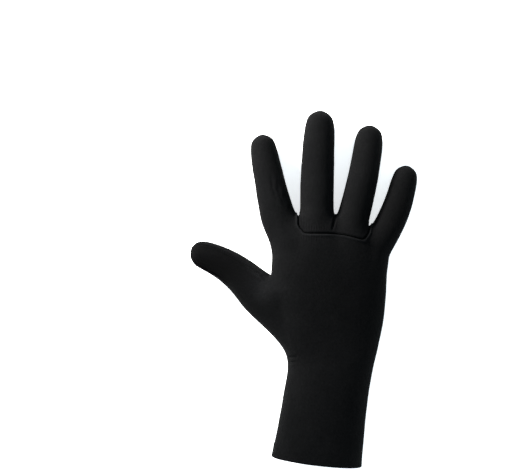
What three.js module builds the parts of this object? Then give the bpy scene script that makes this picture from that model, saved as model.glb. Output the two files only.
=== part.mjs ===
// Right-hand neoprene diving glove, lying palm down, in millimetres with +Z up.
//
// The glove is three sheet panels: the back of the hand with the index finger, little finger and thumb,
// a separate knuckle panel for the middle and ring fingers, and the palm. They meet edge to edge along
// seams. Printed grip patches stand on the palm side of every finger joint.
//
// One cage of quads describes the whole outer skin. Each finger is a tube of eight-sided rings on a curved
// spine, the hand and cuff are rings of 32 points, and the thumb grows out of a hole in the side of the
// hand. The cage is smoothed to a skin, and each panel is cut from that skin and thickened inward by the
// sheet's thickness.
//
// Hand frame: x across the hand towards the little finger, y towards the fingertips, z up from the surface
// that the glove lies on, with the origin under the middle of the wrist.

import * as THREE from "three";

// Sheet and seams
const wall = 3; // neoprene sheet
const seamGap = 0.3; // between the edges of neighbouring panels
const webWidth = 3; // between the roots of neighbouring fingers
const webReach = 1; // how far a web's middle stands ahead of the finger roots
const webDip = 3; // how far a web's top lies under the roots' shoulders

// Palm, wrist and cuff, measured outside
const palmLength = 112; // wrist to the root of the middle finger
const palmWidth = 90;
const palmDepth = 38;
const wristWidth = 64.8;
const wristDepth = 45;
const cuffLength = 76; // wrist to hem
const cuffWidth = 69.2; // at the hem
const cuffDepth = 50; // at the hem
const cuffLean = 8.2; // degrees that the cuff turns towards the thumb
const hemLean = 6.6; // degrees that the hem is cut towards the thumb

// Grip patches
const patchGap = 0.45; // between the patch and the panel under it
const patchThickness = 0.6;
const floorClearance = 0.2; // under the patches of the fingertips

// Each finger's length from its root ring to its tip, its width and depth at the root, along the middle
// and where the tip starts to round, and how many degrees it leans towards the little finger at its root
// and at its tip
const fingers = [
  {
    name: "index", length: 66.5, rootWidth: 27.5, width: 23.4, tipWidth: 20.6, rootDepth: 25, depth: 22,
    leanRoot: -15.5, leanTip: -7.4,
  },
  {
    name: "middle", length: 79.5, rootWidth: 25.4, width: 25.9, tipWidth: 23.4, rootDepth: 26, depth: 23,
    leanRoot: 0, leanTip: 5,
  },
  {
    name: "ring", length: 73.7, rootWidth: 24.4, width: 23.6, tipWidth: 21.8, rootDepth: 25, depth: 21.5,
    leanRoot: 16.5, leanTip: 6,
  },
  {
    name: "little", length: 54.9, rootWidth: 23.2, width: 22.1, tipWidth: 19.7, rootDepth: 23, depth: 19.5,
    leanRoot: 30, leanTip: 8,
  },
];
// The thumb also rolls about its own length, by so many degrees
const thumb = {
  name: "thumb", length: 80.3, rootWidth: 56, width: 24.5, tipWidth: 22.8, rootDepth: 30, depth: 23,
  leanRoot: -47.8, leanTip: -92, rollRoot: 22, rollTip: 4,
};
const leanPower = { finger: 1, thumb: 3 }; // above 1, most of the turn comes near the tip

// Where the middle finger starts, as shares of palmWidth and palmLength, and its height as a share of
// palmDepth
const middleRoot = { across: -0.111, ahead: 1, height: 0.52 };

// Rings of a finger: place along the straight part, how much of the root's extra width and depth is left
// there, how much of the way to the tip's width it has gone, and the depth as a share of the finger's own.
// The thumb's rings also shift away from the index finger by a share of the root's width, which rounds the
// crotch.
const fingerSections = [
  { along: 0, swell: 1, taper: 0, depth: 1 },
  { along: 0.2, swell: 0.5, taper: 0, depth: 1 },
  { along: 0.45, swell: 0.12, taper: 0.1, depth: 1 },
  { along: 0.72, swell: 0, taper: 0.5, depth: 0.97 },
  { along: 1, swell: 0, taper: 1, depth: 0.92 },
];
const thumbSections = [
  { along: 0, swell: 1, taper: 0, depth: 1 },
  { along: 0.25, swell: 0.32, taper: 0, depth: 1, shift: 0.055 },
  { along: 0.45, swell: 0.14, taper: 0, depth: 1, shift: 0.025 },
  { along: 0.7, swell: 0.04, taper: 0.2, depth: 0.97 },
  { along: 1, swell: 0, taper: 1, depth: 0.9 },
];

// Rings of the hand, from the knuckle seam to the wrist. along is a share of palmLength; left and right are
// shares of palmWidth from the hand's middle line; top, bottom and side are heights as shares of palmDepth.
// even says how far the points have spread from the finger columns to an even spacing. follow says how far
// the ring bends with the finger roots. ridge lifts the knuckles and lowers the valleys between them, and
// hollow lifts the middle of the palm. opening is how far round the section the thumb's opening reaches, as
// a share of the half turn. corner is how far the knuckle seam's corners are rounded. thumb names the three
// rings that the thumb's opening spans.
const handSections = [
  {
    along: 0.828, left: 0.52, right: 0.505, top: 1, bottom: 0.07, side: 0.5, even: 0.1, follow: 0.85,
    ridge: 0.03, hollow: 0.02, opening: 0, corner: 0.05,
  },
  {
    along: 0.725, left: 0.495, right: 0.504, top: 1.06, bottom: 0.05, side: 0.5, even: 0.35, follow: 0.4,
    ridge: 0.01, hollow: 0.05, opening: 0.1, corner: 0.02,
  },
  {
    along: 0.62, left: 0.515, right: 0.485, top: 1.1, bottom: 0.04, side: 0.5, even: 0.6, follow: 0.1,
    ridge: 0, hollow: 0.08, opening: 0.16, corner: 0, thumb: "ahead",
  },
  {
    along: 0.37, left: 0.49, right: 0.477, top: 1.13, bottom: 0.02, side: 0.5, even: 0.9, follow: 0,
    ridge: 0, hollow: 0.08, opening: 0.18, corner: 0, thumb: "amid",
  },
  {
    along: 0.13, left: 0.42, right: 0.422, top: 1.15, bottom: 0, side: 0.52, even: 1, follow: 0,
    ridge: 0, hollow: 0.03, opening: 0.15, corner: 0, thumb: "behind",
  },
];
const ridgePattern = [-0.4, 1, -0.4, -2.2]; // over a finger's left shoulder, middle, right shoulder and web
const cornerInset = 0.4; // how far a knuckle seam corner moves inward, as a share of how far it moves ahead

// Rings of the cuff, from the wrist to the hem. along is a share of cuffLength. Width and depth run from the
// wrist's to the hem's. width is the ring's own share of the width there, and shift is how far it stands
// towards the little finger, as a share of the same width. top, bottom and side are shares of the depth.
const cuffSections = [
  { along: 0, width: 1, shift: 0.022, top: 0.99, bottom: -0.02, side: 0.5 },
  { along: 0.3, width: 0.965, shift: 0.003, top: 0.99, bottom: -0.03, side: 0.5 },
  { along: 0.65, width: 0.97, shift: 0.007, top: 0.99, bottom: -0.03, side: 0.5 },
  { along: 1, width: 1, shift: 0.005, top: 0.99, bottom: -0.03, side: 0.5 },
];
const handSquareness = 2.4; // superellipse exponents of the sections
const cuffSquareness = 2.1;
const backSlope = 0.07; // share by which the back of the hand falls towards the little finger

// Round end of a finger: the last ring's distance from the tip as a share of the tip's radius, its size as
// a share of the ring before, and how far the point at the end stands proud, as a share of that distance
const fingertip = { lastRing: 0.28, lastSize: 0.8, proud: 1.25 };

// Degrees of the panel seams below a finger's side, and of a ring's shoulders above it
const seamAngle = { finger: 47, thumbRoot: 45, thumbTip: -8 };
const shoulderAngle = 45;

// Grip patches: start and end as shares of the finger's length, and width as a share of the finger's width
const fingerPatches = [
  { name: "base", from: 0.03, to: 0.31, width: 0.56 },
  { name: "mid", from: 0.36, to: 0.63, width: 0.54 },
  { name: "tip", from: 0.68, to: 0.93, width: 0.5 },
];
const thumbPatches = [{ name: "tip", from: 0.5, to: 0.84, width: 0.56 }];
const patchSteps = 6; // cells along each patch
const patchCorner = 0.3; // rounded share of the patch's length at each end
const patchEnd = 0.45; // width of the patch's end as a share of its full width
const patchShoulder = 0.75; // points between the middle and the edge, as a share of the half width

const radians = Math.PI / 180;
const lerp = THREE.MathUtils.lerp;

// Places of the points round a finger's ring
const ringNames = ["topLeft", "top", "topRight", "right", "bottomRight", "bottom", "bottomLeft", "left"];
const ring = Object.fromEntries(ringNames.map((name, place) => [name, place]));
const ringPoints = ringNames.length;

// Columns of the hand's rings: the side under the thumb, then the top from left to right, the other side,
// and the bottom from right to left. Each finger has three columns, and each web one.
const columnsPerFinger = 4;
const topColumns = fingers.length * columnsPerFinger - 1;
const handColumns = 2 * topColumns + 2;
const leftColumn = 0;
const rightColumn = topColumns + 1;
const topColumn = (finger, place) => 1 + columnsPerFinger * finger + place;
const lastFinger = fingers.length - 1;
const bottomColumn = (finger, place) => rightColumn + 1 + columnsPerFinger * (lastFinger - finger) + place;
const topWeb = (finger) => topColumn(finger, columnsPerFinger - 1);
const bottomWeb = (finger) => bottomColumn(finger, -1);
const lastInFinger = columnsPerFinger - 2;

const cage = { points: [], faces: [] };
const addPoint = (point) => cage.points.push(point) - 1;
const addFace = (corners, panel) => cage.faces.push({ corners, panel }) - 1;

// A finger's middle line turns from one lean to the other, and comes down from its root to rest at its tip
const spineSteps = 24;
function spinePoint(finger, root, tipHeight, distance) {
  const power = finger === thumb ? leanPower.thumb : leanPower.finger;
  const point = root.clone();
  for (let step = 0; step < spineSteps; step += 1) {
    const share = Math.max(0, (step + 0.5) / spineSteps * distance / finger.length);
    const lean = lerp(finger.leanRoot, finger.leanTip, share ** power) * radians;
    point.x += Math.sin(lean) * distance / spineSteps;
    point.y += Math.cos(lean) * distance / spineSteps;
  }
  const share = distance / finger.length;
  point.z = lerp(root.z, tipHeight, THREE.MathUtils.smoothstep(share, 0, 1));
  return point;
}

// Centre and directions of a finger's ring
function ringFrame(finger, root, tipHeight, distance) {
  const nearby = 0.5;
  const centre = spinePoint(finger, root, tipHeight, distance);
  const forward = spinePoint(finger, root, tipHeight, distance + nearby)
    .sub(spinePoint(finger, root, tipHeight, distance - nearby))
    .normalize();
  const up = new THREE.Vector3(0, 0, 1).addScaledVector(forward, -forward.z).normalize();
  const roll = lerp(finger.rollRoot ?? 0, finger.rollTip ?? 0, distance / finger.length) * radians;
  up.applyAxisAngle(forward, -roll);
  return { centre, forward, up, right: forward.clone().cross(up) };
}

function ringAngles(seam) {
  const side = (shoulderAngle - seam) / 2;
  return [180 - shoulderAngle, 90, shoulderAngle, side, -seam, -90, seam - 180, 180 - side];
}

// Weights of four neighbouring points on a smoothed ring, at a share of the way from the second to the third
function smoothedWeights(t) {
  const weights = [(1 - t) ** 3, 4 - 6 * t ** 2 + 3 * t ** 3, 1 + 3 * t + 3 * t ** 2 - 3 * t ** 3, t ** 3];
  return weights.map((weight) => weight / 6);
}

// How far a ring of points one unit out reaches once it is smoothed: to its side, its top and its bottom
function smoothedReach(angles) {
  const reach = { side: 0, top: 0, bottom: 0 };
  const steps = 8;
  angles.forEach((_, place) => {
    const four = [0, 1, 2, 3].map((offset) => angles[(place + offset) % ringPoints] * radians);
    for (let step = 0; step < steps; step += 1) {
      const weights = smoothedWeights(step / steps);
      const x = four.reduce((sum, angle, index) => sum + weights[index] * Math.cos(angle), 0);
      const y = four.reduce((sum, angle, index) => sum + weights[index] * Math.sin(angle), 0);
      reach.side = Math.max(reach.side, x);
      reach.top = Math.max(reach.top, y);
      reach.bottom = Math.max(reach.bottom, -y);
    }
  });
  return reach;
}

// Eight points of a finger's ring, set out until the smoothed ring fills the width and depth
function fingerRing(frame, width, depth, seam) {
  const angles = ringAngles(seam);
  const reach = smoothedReach(angles);
  return angles.map((angle) => {
    const rise = Math.sin(angle * radians);
    const across = width / 2 * Math.cos(angle * radians) / reach.side;
    const above = depth / 2 * rise / (rise > 0 ? reach.top : reach.bottom);
    return frame.centre.clone().addScaledVector(frame.right, across).addScaledVector(frame.up, above);
  });
}

const panelOfFinger = ["back_panel", "knuckle_panel", "knuckle_panel", "back_panel"];
const onPalmSide = (place) => place === ring.bottomRight || place === ring.bottom;

// Joins rings of points into a tube with a rounded tip, from a base ring of points that exist already
function growFinger(finger, root, baseRing, sections, dorsal, seamAt) {
  const standing = patchGap + patchThickness + floorClearance;
  const tipDepth = finger.depth * sections.at(-1).depth;
  const tipHeight = tipDepth / 2 + standing;
  const tipRadius = finger.tipWidth / 2;
  const straight = finger.length - tipRadius;
  const distances = [0];
  const rings = [baseRing];
  const addRing = (distance, width, depth, shift = 0) => {
    const frame = ringFrame(finger, root, tipHeight, distance);
    frame.centre.addScaledVector(frame.right, -shift * finger.rootWidth);
    distances.push(distance);
    rings.push(fingerRing(frame, width, depth, seamAt(distance / finger.length)).map(addPoint));
  };
  for (const section of sections.slice(1)) {
    const width = finger.width + (finger.rootWidth - finger.width) * section.swell
      - (finger.width - finger.tipWidth) * section.taper;
    const depth = (finger.depth + (finger.rootDepth - finger.depth) * section.swell) * section.depth;
    addRing(section.along * straight, width, depth, section.shift);
  }
  const fromTip = fingertip.lastRing * tipRadius;
  addRing(finger.length - fromTip, finger.tipWidth * fingertip.lastSize, tipDepth * fingertip.lastSize);
  const tipPoint = addPoint(spinePoint(finger, root, tipHeight, finger.length + fingertip.proud * fromTip));

  const faces = rings.slice(1).map((ahead, step) =>
    ringNames.map((_, place) => {
      const next = (place + 1) % ringPoints;
      const corners = [rings[step][place], rings[step][next], ahead[next], ahead[place]];
      return addFace(corners, onPalmSide(place) ? "palm_panel" : dorsal);
    }),
  );
  const end = rings.at(-1);
  for (const place of [ring.topLeft, ring.topRight, ring.bottomRight, ring.bottomLeft]) {
    const corners = [end[place], end[place + 1], end[(place + 2) % ringPoints], tipPoint];
    addFace(corners, place === ring.bottomRight ? "palm_panel" : dorsal);
  }
  return { finger, rings, distances, faces };
}

// Roots of the fingers, side by side from the middle finger outward, a web apart
function layOutRoots() {
  const direction = (lean) => new THREE.Vector3(Math.cos(lean * radians), -Math.sin(lean * radians), 0);
  const roots = [];
  const middle = 1;
  roots[middle] = new THREE.Vector3(
    middleRoot.across * palmWidth, middleRoot.ahead * palmLength, middleRoot.height * palmDepth,
  );
  const step = (from, to, side) => {
    const between = (fingers[from].leanRoot + fingers[to].leanRoot) / 2;
    roots[to] = roots[from].clone()
      .addScaledVector(direction(fingers[from].leanRoot), side * fingers[from].rootWidth / 2)
      .addScaledVector(direction(between), side * webWidth)
      .addScaledVector(direction(fingers[to].leanRoot), side * fingers[to].rootWidth / 2);
    roots[to].z = roots[from].z - (fingers[from].rootDepth - fingers[to].rootDepth) / 2;
  };
  step(middle, middle - 1, -1);
  for (let finger = middle; finger + 1 < fingers.length; finger += 1) step(finger, finger + 1, 1);
  return roots;
}

const roots = layOutRoots();
const rootRings = fingers.map((finger, index) => {
  const frame = ringFrame(finger, roots[index], roots[index].z, 0);
  return fingerRing(frame, finger.rootWidth, finger.rootDepth, seamAngle.finger).map(addPoint);
});

// Top, middle and bottom points of each web
const webs = rootRings.slice(1).map((there, finger) => {
  const here = rootRings[finger];
  const between = (a, b) => cage.points[here[a]].clone().lerp(cage.points[there[b]], 0.5);
  const top = between(ring.topRight, ring.topLeft);
  const middle = between(ring.right, ring.left);
  top.z -= webDip;
  middle.y += webReach;
  const bottom = between(ring.bottomRight, ring.bottomLeft);
  return { top: addPoint(top), middle: addPoint(middle), bottom: addPoint(bottom) };
});

// The hand's first ring runs through the finger roots
function knuckleRing() {
  const row = new Array(handColumns);
  row[leftColumn] = rootRings[0][ring.left];
  row[rightColumn] = rootRings.at(-1)[ring.right];
  rootRings.forEach((points, finger) => {
    [ring.topLeft, ring.top, ring.topRight].forEach((place, column) => {
      row[topColumn(finger, column)] = points[place];
    });
    [ring.bottomRight, ring.bottom, ring.bottomLeft].forEach((place, column) => {
      row[bottomColumn(finger, column)] = points[place];
    });
  });
  webs.forEach((web, finger) => {
    row[topWeb(finger)] = web.top;
    row[bottomWeb(finger)] = web.bottom;
  });
  return row;
}

// How far round the half section a column stands: 0 at the left side and 1 at the right side
function columnTurns(section, knuckles) {
  const row = knuckles.map((index) => cage.points[index]);
  const leftEdge = row[leftColumn].x;
  const rightEdge = row[rightColumn].x;
  const evenStep = 1 / (topColumns + 1);
  const opening = Math.max(section.opening, evenStep);
  return row.map((point, column) => {
    if (column === leftColumn) return 0;
    if (column === rightColumn) return 1;
    const place = column < rightColumn ? column : handColumns - column;
    const share = THREE.MathUtils.clamp((point.x - leftEdge) / (rightEdge - leftEdge), 0.01, 0.99);
    const followed = Math.acos(1 - 2 * share) / Math.PI;
    const even = opening + (place - 1) * (1 - evenStep - opening) / (topColumns - 1);
    return lerp(followed, even, section.even);
  });
}

// One ring of the hand or cuff. The section is a superellipse between its left and right edges, with
// separate heights above and below its sides.
function bodyRing(section, knuckles) {
  const turns = columnTurns(section, knuckles);
  const meanAhead = knuckles.reduce((sum, index) => sum + cage.points[index].y, 0) / knuckles.length;
  const middle = (section.right - section.left) / 2;
  const half = (section.right + section.left) / 2;
  const rootPower = 2 / section.squareness;
  return knuckles.map((index, column) => {
    const angle = Math.PI * turns[column];
    const across = -Math.sign(Math.cos(angle)) * Math.abs(Math.cos(angle)) ** rootPower;
    const rise = Math.sin(angle) ** rootPower;
    const isSide = column === leftColumn || column === rightColumn;
    const onTop = column < rightColumn;
    const slope = 1 - backSlope * across * section.sloped;
    const knuckle = ridgePattern[(column - 1) % columnsPerFinger];
    const arch = section.hollow * (1 - across ** 2);
    let height = section.side;
    if (!isSide && onTop) height += (section.top * slope - section.side) * rise + section.ridge * knuckle;
    if (!isSide && !onTop) height -= (section.side - section.bottom) * rise - arch;
    const corner = section.corner * ((column === topWeb(0)) - (column === topWeb(2)));
    const x = middle + half * across + corner * cornerInset;
    const y = section.follow * (cage.points[index].y - meanAhead) + Math.abs(corner);
    const lean = section.lean * radians;
    const turned = new THREE.Vector2(x, y).rotateAround(new THREE.Vector2(), -lean);
    return addPoint(new THREE.Vector3(section.x + turned.x, section.y + turned.y, height));
  });
}

function handSection(row) {
  return {
    x: 0, y: row.along * palmLength, lean: 0,
    left: row.left * palmWidth, right: row.right * palmWidth,
    top: row.top * palmDepth, bottom: row.bottom * palmDepth, side: row.side * palmDepth,
    ridge: row.ridge * palmDepth, hollow: row.hollow * palmDepth,
    even: row.even, follow: row.follow, opening: row.opening, corner: row.corner * palmLength,
    squareness: handSquareness, sloped: 1,
  };
}

function cuffSection(row) {
  const lean = hemLean * Math.min(1, row.along * 2);
  const fullWidth = lerp(wristWidth, cuffWidth, row.along);
  const width = row.width * fullWidth;
  const depth = lerp(wristDepth, cuffDepth, row.along);
  return {
    x: row.shift * fullWidth - row.along * cuffLength * Math.sin(cuffLean * radians),
    y: -row.along * cuffLength * Math.cos(cuffLean * radians),
    lean, left: width / 2, right: width / 2,
    top: row.top * depth, bottom: row.bottom * depth, side: row.side * depth,
    ridge: 0, hollow: 0, even: 1, follow: 0, opening: 0, corner: 0, squareness: cuffSquareness, sloped: 0,
  };
}

// Hand and cuff
const knuckles = knuckleRing();
const bodySections = [...handSections.map(handSection), ...cuffSections.map(cuffSection)];
const bodyRings = [knuckles, ...bodySections.map((section) => bodyRing(section, knuckles))];
const thumbRow = (place) => 1 + handSections.findIndex((section) => section.thumb === place);

function bodyPanel(row, column) {
  if (column >= bottomColumn(lastFinger, 0) && column < bottomColumn(0, lastInFinger)) return "palm_panel";
  const onKnuckles = row === 0 && column >= topWeb(0) && column < topWeb(2);
  return onKnuckles ? "knuckle_panel" : "back_panel";
}

for (let row = 0; row + 1 < bodyRings.length; row += 1) {
  for (let column = 0; column < handColumns; column += 1) {
    const next = (column + 1) % handColumns;
    const inOpening = row >= thumbRow("ahead") && row < thumbRow("behind");
    if (inOpening && (column === leftColumn || next === leftColumn)) continue;
    const corners = [
      bodyRings[row + 1][column], bodyRings[row + 1][next], bodyRings[row][next], bodyRings[row][column],
    ];
    addFace(corners, bodyPanel(row, column));
  }
}

// Webs between the fingers
webs.forEach((web, finger) => {
  const here = rootRings[finger];
  const there = rootRings[finger + 1];
  const [panel, next] = [panelOfFinger[finger], panelOfFinger[finger + 1]];
  addFace([here[ring.topRight], web.top, web.middle, here[ring.right]], panel);
  addFace([web.top, there[ring.topLeft], there[ring.left], web.middle], next);
  addFace([here[ring.right], web.middle, web.bottom, here[ring.bottomRight]], panel);
  addFace([web.middle, there[ring.left], there[ring.bottomLeft], web.bottom], next);
});

const fingerSeam = () => seamAngle.finger;
const thumbSeam = (share) => lerp(seamAngle.thumbRoot, seamAngle.thumbTip, share);
const grown = fingers.map((finger, index) =>
  growFinger(finger, roots[index], rootRings[index], fingerSections, panelOfFinger[index], fingerSeam),
);

// Thumb, from the ring of points round the opening in the side of the hand
const firstBottom = bottomColumn(0, lastInFinger);
const firstTop = topColumn(0, 0);
const [ahead, amid, behind] = ["ahead", "amid", "behind"].map((place) => bodyRings[thumbRow(place)]);
const thumbBase = [
  behind[firstTop], amid[firstTop], ahead[firstTop], ahead[leftColumn],
  ahead[firstBottom], amid[firstBottom], behind[firstBottom], behind[leftColumn],
];
const thumbRoot = thumbBase
  .reduce((sum, index) => sum.add(cage.points[index]), new THREE.Vector3())
  .divideScalar(thumbBase.length);
grown.push(growFinger(thumb, thumbRoot, thumbBase, thumbSections, "back_panel", thumbSeam));

// Catmull-Clark smoothing. Open edges are smoothed along themselves, which keeps the hem flat.
function edgeTable(faces) {
  const edges = new Map();
  faces.forEach(({ corners }, index) => {
    corners.forEach((from, place) => {
      const to = corners[(place + 1) % corners.length];
      const key = from < to ? `${from}_${to}` : `${to}_${from}`;
      if (!edges.has(key)) edges.set(key, { ends: [from, to], faces: [] });
      edges.get(key).faces.push(index);
    });
  });
  return edges;
}

function neighbours(mesh, edges) {
  const around = mesh.points.map(() => ({ edges: [], faces: [] }));
  for (const edge of edges.values()) edge.ends.forEach((end) => around[end].edges.push(edge));
  mesh.faces.forEach(({ corners }, index) => corners.forEach((corner) => around[corner].faces.push(index)));
  return around;
}

const mean = (points) =>
  points.reduce((sum, point) => sum.add(point), new THREE.Vector3()).divideScalar(points.length);
const otherEnd = (edge, index) => (edge.ends[0] === index ? edge.ends[1] : edge.ends[0]);

function subdivide(mesh) {
  const edges = edgeTable(mesh.faces);
  const around = neighbours(mesh, edges);
  const facePoints = mesh.faces.map(({ corners }) => mean(corners.map((corner) => mesh.points[corner])));
  const moved = mesh.points.map((point, index) => {
    const open = around[index].edges.filter((edge) => edge.faces.length === 1);
    if (open.length) {
      const ends = open.map((edge) => mesh.points[otherEnd(edge, index)]);
      return point.clone().multiplyScalar(6).add(ends[0]).add(ends[1]).divideScalar(8);
    }
    const valence = around[index].edges.length;
    const faceMean = mean(around[index].faces.map((face) => facePoints[face]));
    const ends = around[index].edges.map((edge) => mesh.points[otherEnd(edge, index)]);
    const edgeMean = mean(ends.map((end) => end.clone().lerp(point, 0.5)));
    return faceMean.add(edgeMean.multiplyScalar(2)).addScaledVector(point, valence - 3).divideScalar(valence);
  });
  const firstFacePoint = moved.length;
  const firstEdgePoint = firstFacePoint + facePoints.length;
  const edgePoints = [];
  for (const edge of edges.values()) {
    edge.index = firstEdgePoint + edgePoints.length;
    const ends = edge.ends.map((end) => mesh.points[end]);
    const sides = edge.faces.length === 1 ? [] : edge.faces.map((face) => facePoints[face]);
    edgePoints.push(mean([...ends, ...sides]));
  }
  const edgePoint = (a, b) => edges.get(a < b ? `${a}_${b}` : `${b}_${a}`).index;
  const facePoint = (face) => firstFacePoint + face;
  const faces = mesh.faces.flatMap(({ corners, panel }, index) =>
    corners.map((corner, place) => {
      const next = corners[(place + 1) % corners.length];
      const previous = corners[(place + corners.length - 1) % corners.length];
      const around = [corner, edgePoint(corner, next), facePoint(index), edgePoint(previous, corner)];
      return { corners: around, panel };
    }),
  );
  return { points: [...moved, ...facePoints, ...edgePoints], faces, edgePoint, facePoint };
}

// Moves every point to where endless smoothing would take it
function toLimit(mesh) {
  const around = neighbours(mesh, edgeTable(mesh.faces));
  const points = mesh.points.map((point, index) => {
    const open = around[index].edges.filter((edge) => edge.faces.length === 1);
    if (open.length) {
      const ends = open.map((edge) => mesh.points[otherEnd(edge, index)]);
      return point.clone().multiplyScalar(4).add(ends[0]).add(ends[1]).divideScalar(6);
    }
    const valence = around[index].edges.length;
    const sum = point.clone().multiplyScalar(valence ** 2);
    for (const edge of around[index].edges) sum.addScaledVector(mesh.points[otherEnd(edge, index)], 4);
    for (const face of around[index].faces) {
      const { corners } = mesh.faces[face];
      sum.add(mesh.points[corners[(corners.indexOf(index) + 2) % corners.length]]);
    }
    return sum.divideScalar(valence * (valence + 5));
  });
  return { ...mesh, points };
}

function pointNormals(mesh) {
  const normals = mesh.points.map(() => new THREE.Vector3());
  for (const { corners } of mesh.faces) {
    const [a, b, c, d] = corners.map((corner) => mesh.points[corner]);
    const normal = c.clone().sub(a).cross(d.clone().sub(b));
    corners.forEach((corner) => normals[corner].add(normal));
  }
  return normals.map((normal) => normal.normalize());
}

const skin = toLimit(subdivide(cage));
const normals = pointNormals(skin);

// The sheet thickens within the plane of the cut at the hem
const hemNormal = new THREE.Vector3(-Math.sin(hemLean * radians), -Math.cos(hemLean * radians), 0);
for (const edge of edgeTable(skin.faces).values()) {
  if (edge.faces.length > 1) continue;
  for (const end of edge.ends) normals[end].projectOnPlane(hemNormal).normalize();
}

// The sheet is pressed flat where it lies on the surface
const inside = skin.points.map((point, index) => {
  const inner = point.clone().addScaledVector(normals[index], -wall);
  if (point.z < wall) inner.z = Math.max(inner.z, wall);
  return inner;
});
for (const point of skin.points) point.z = Math.max(point.z, 0);

// Moves the points of a panel's edge into the panel by half the seam gap, except along the hem
const nearlyStraight = 0.05;
function insetEdge(faces, edges) {
  const moved = new Map();
  const seams = new Map();
  const skinEdges = edgeTable(skin.faces);
  for (const [key, edge] of edges) {
    if (edge.faces.length > 1) continue;
    const { corners } = faces[edge.faces[0]];
    const place = corners.findIndex((corner, index) => {
      const next = corners[(index + 1) % corners.length];
      return edge.ends.includes(corner) && edge.ends.includes(next);
    });
    const from = corners[place];
    const to = corners[(place + 1) % corners.length];
    const along = skin.points[to].clone().sub(skin.points[from]).normalize();
    const isHem = skinEdges.get(key).faces.length === 1;
    for (const end of [from, to]) {
      const inward = normals[end].clone().cross(along).normalize();
      if (!seams.has(end)) seams.set(end, []);
      seams.get(end).push({ inward, gap: isHem ? 0 : seamGap / 2 });
    }
  }
  for (const [index, [first, second]] of seams) {
    const turn = first.inward.dot(second.inward);
    const spread = 1 - turn ** 2;
    const shift = new THREE.Vector3();
    if (spread < nearlyStraight) {
      const inward = first.inward.clone().add(second.inward).normalize();
      shift.addScaledVector(inward, Math.max(first.gap, second.gap));
    } else {
      shift.addScaledVector(first.inward, (first.gap - turn * second.gap) / spread);
      shift.addScaledVector(second.inward, (second.gap - turn * first.gap) / spread);
    }
    moved.set(index, shift.clampLength(0, 2 * seamGap));
  }
  return moved;
}

// Mesh under construction, with quads split along their shorter diagonal
function solidBuilder() {
  const positions = [];
  const triangles = [];
  return {
    point: (vector) => positions.push(...vector.toArray()) / 3 - 1,
    quad(a, b, c, d) {
      const at = (index) => new THREE.Vector3().fromArray(positions, 3 * index);
      if (at(a).distanceTo(at(c)) < at(b).distanceTo(at(d))) triangles.push(a, b, c, a, c, d);
      else triangles.push(a, b, d, b, c, d);
    },
    geometry() {
      const geometry = new THREE.BufferGeometry();
      geometry.setAttribute("position", new THREE.Float32BufferAttribute(positions, 3));
      geometry.setIndex(triangles);
      geometry.computeVertexNormals();
      return geometry;
    },
  };
}

// One panel as a closed sheet: its share of the skin, the same inside, and the cut edges between them
function panelGeometry(panel) {
  const faces = skin.faces.filter((face) => face.panel === panel);
  const edges = edgeTable(faces);
  const shifts = insetEdge(faces, edges);
  const builder = solidBuilder();
  const outer = new Map();
  const inner = new Map();
  for (const index of new Set(faces.flatMap((face) => face.corners))) {
    const shift = shifts.get(index) ?? new THREE.Vector3();
    outer.set(index, builder.point(skin.points[index].clone().add(shift)));
    inner.set(index, builder.point(inside[index].clone().add(shift)));
  }
  for (const { corners } of faces) {
    builder.quad(...corners.map((corner) => outer.get(corner)));
    builder.quad(...corners.toReversed().map((corner) => inner.get(corner)));
  }
  for (const edge of edges.values()) {
    if (edge.faces.length > 1) continue;
    const { corners } = faces[edge.faces[0]];
    const forward = corners[(corners.indexOf(edge.ends[0]) + 1) % corners.length] === edge.ends[1];
    const [from, to] = forward ? edge.ends : edge.ends.toReversed();
    builder.quad(outer.get(to), outer.get(from), inner.get(from), inner.get(to));
  }
  return builder.geometry();
}

// The palm side of a finger as a grid of skin points: five columns between the seams, two rows to each
// cage ring
function palmSideGrid({ rings, faces }) {
  const columns = [ring.bottomRight, ring.bottom, ring.bottomLeft];
  const rows = [];
  rings.forEach((points, step) => {
    const [right, low, left] = columns.map((place) => points[place]);
    rows.push([right, skin.edgePoint(right, low), low, skin.edgePoint(low, left), left]);
    if (step + 1 === rings.length) return;
    const ahead = rings[step + 1];
    const between = columns.map((place) => skin.edgePoint(points[place], ahead[place]));
    const [first, second] = columns.map((place) => skin.facePoint(faces[step][place]));
    rows.push([between[0], first, between[1], second, between[2]]);
  });
  return rows;
}

// Point and normal of the grid at a fractional row and column
function gridPoint(grid, row, column) {
  const r = Math.min(Math.floor(row), grid.length - 2);
  const c = Math.min(Math.floor(column), grid[0].length - 2);
  const mix = (values) => {
    const low = values[grid[r][c]].clone().lerp(values[grid[r][c + 1]], column - c);
    const high = values[grid[r + 1][c]].clone().lerp(values[grid[r + 1][c + 1]], column - c);
    return low.lerp(high, row - r);
  };
  return { point: mix(skin.points), normal: mix(normals).normalize() };
}

// Fractional grid row at a distance along the finger
function rowAt(distances, distance) {
  const step = Math.max(0, distances.findLastIndex((start) => start <= distance));
  if (step + 1 >= distances.length) return 2 * (distances.length - 1);
  return 2 * (step + (distance - distances[step]) / (distances[step + 1] - distances[step]));
}

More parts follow.
